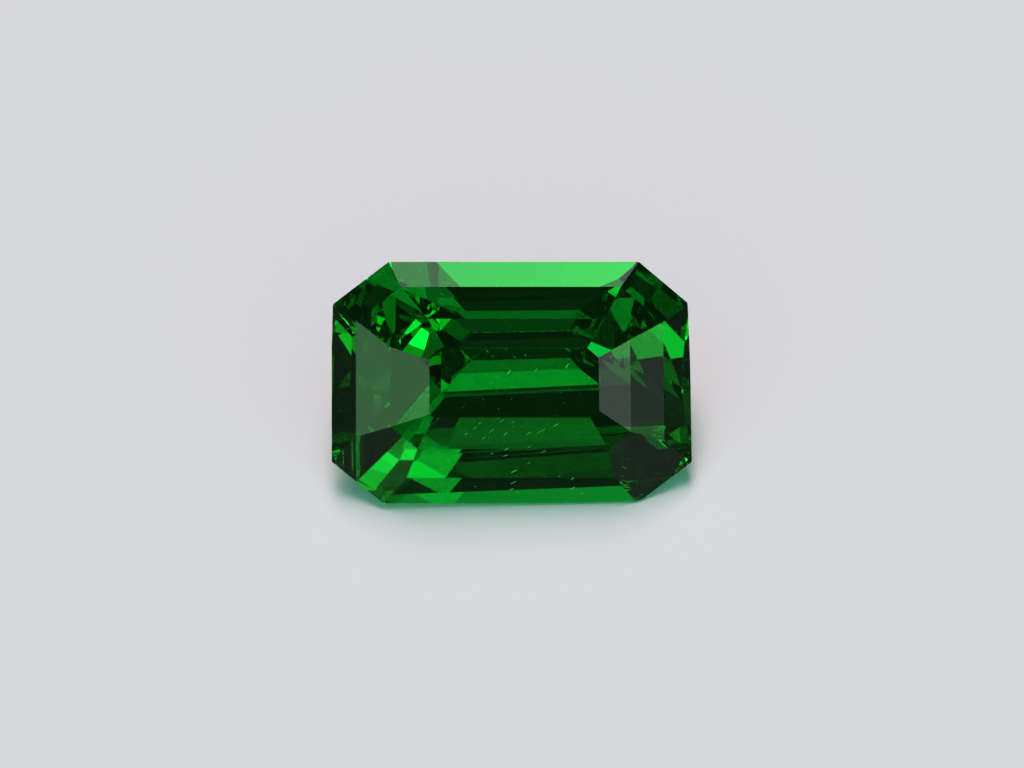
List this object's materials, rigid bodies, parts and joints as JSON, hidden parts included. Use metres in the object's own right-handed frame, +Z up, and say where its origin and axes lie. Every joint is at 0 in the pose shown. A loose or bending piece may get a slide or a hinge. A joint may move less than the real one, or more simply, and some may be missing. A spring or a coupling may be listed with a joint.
{
  "type": "cut tsavorite garnet",
  "caption": "Clear green gemstone cut as an elongated octagon in steps, with a small table, a stepped crown and a keeled pavilion.",
  "frame": {"origin": "middle of the stone's footprint, on the surface that it lies on", "axes": "+X along the stone's length, +Z up, the table leaning towards -Y"},
  "size_m": [0.01, 0.0054, 0.0044],
  "materials": {
    "garnet": "clear polished green crystal, refractive index 1.74"
  },
  "bodies": {
    "root": {"tsavorite": "garnet"}
  },
  "joints": []
}
